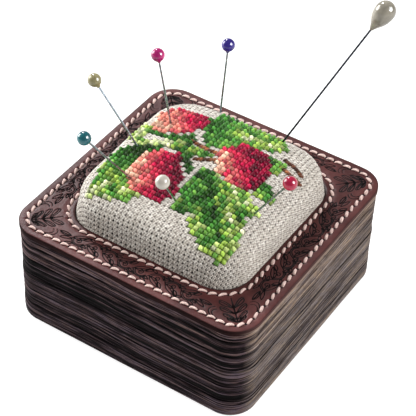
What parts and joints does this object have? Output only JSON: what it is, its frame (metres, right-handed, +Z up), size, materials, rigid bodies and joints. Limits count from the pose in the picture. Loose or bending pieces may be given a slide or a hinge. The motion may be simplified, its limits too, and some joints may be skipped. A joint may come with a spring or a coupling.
{
  "type": "pin cushion",
  "caption": "Square layered wood block with a stitched, tooled leather frame round a domed cross-stitch cushion that holds ball-head pins and a long teardrop-head pin.",
  "frame": {"origin": "centre of the block's flat base face", "axes": "+Z up out of the cushion's crown, X and Y along the block's sides; the long pin leans towards +X and +Y"},
  "size_m": [0.08, 0.0808, 0.0963],
  "materials": {
    "layered_wood": "matt, dark stained, edges of the plies showing",
    "leather": "satin, tooled",
    "stitch_thread": "waxed thread",
    "board": "plain",
    "stuffing": "loose fibre, packed",
    "canvas": "counted-thread weave",
    "berry_thread": "stranded cotton, coral to crimson",
    "leaf_thread": "stranded cotton, dark green to lime",
    "stem_thread": "stranded cotton, brown",
    "needle_steel": "polished wire",
    "pearl_head": "pearlescent",
    "teal_head": "pearlescent",
    "gold_head": "pearlescent",
    "magenta_head": "pearlescent",
    "violet_head": "pearlescent",
    "crimson_head": "pearlescent"
  },
  "bodies": {
    "cushion": {"base_plate": "layered_wood", "wood_layer_2": "layered_wood", "wood_layer_3": "layered_wood", "wood_layer_4": "layered_wood", "wood_layer_5": "layered_wood", "top_plate": "layered_wood", "leather_lining": "leather", "leather_frame": "leather", "outer_stitching": "stitch_thread", "inner_stitching": "stitch_thread", "cushion_board": "board", "stuffing": "stuffing", "canvas_cover": "canvas", "berry_embroidery": "berry_thread", "leaf_embroidery": "leaf_thread", "stem_embroidery": "stem_thread"},
    "teal_pin": {"teal_pin_needle": "needle_steel", "teal_pin_head": "teal_head"},
    "gold_pin": {"gold_pin_needle": "needle_steel", "gold_pin_head": "gold_head"},
    "magenta_pin": {"magenta_pin_needle": "needle_steel", "magenta_pin_head": "magenta_head"},
    "violet_pin": {"violet_pin_needle": "needle_steel", "violet_pin_head": "violet_head"},
    "white_pin": {"white_pin_needle": "needle_steel", "white_pin_head": "pearl_head"},
    "crimson_pin": {"crimson_pin_needle": "needle_steel", "crimson_pin_head": "crimson_head"},
    "pearl_pin": {"pearl_pin_needle": "needle_steel", "pearl_pin_head": "pearl_head"}
  },
  "joints": [
    {"name": "teal_pin_pull", "type": "slide", "parent": "cushion", "child": "teal_pin", "axis": [-0.203, -0.5288, 0.8241], "range_m": [0, 0.02]},
    {"name": "gold_pin_pull", "type": "slide", "parent": "cushion", "child": "gold_pin", "axis": [-0.3999, -0.2309, 0.887], "range_m": [0, 0.0195]},
    {"name": "magenta_pin_pull", "type": "slide", "parent": "cushion", "child": "magenta_pin", "axis": [-0.1125, -0.1087, 0.9877], "range_m": [0, 0.02]},
    {"name": "violet_pin_pull", "type": "slide", "parent": "cushion", "child": "violet_pin", "axis": [0.0597, 0.0127, 0.9981], "range_m": [0, 0.02]},
    {"name": "white_pin_pull", "type": "slide", "parent": "cushion", "child": "white_pin", "axis": [0.1959, -0.569, 0.7986], "range_m": [0, 0.022]},
    {"name": "crimson_pin_pull", "type": "slide", "parent": "cushion", "child": "crimson_pin", "axis": [0.5165, -0.1481, 0.8434], "range_m": [0, 0.022]},
    {"name": "pearl_pin_pull", "type": "slide", "parent": "cushion", "child": "pearl_pin", "axis": [0.3937, 0.2557, 0.8829], "range_m": [0, 0.023]}
  ]
}
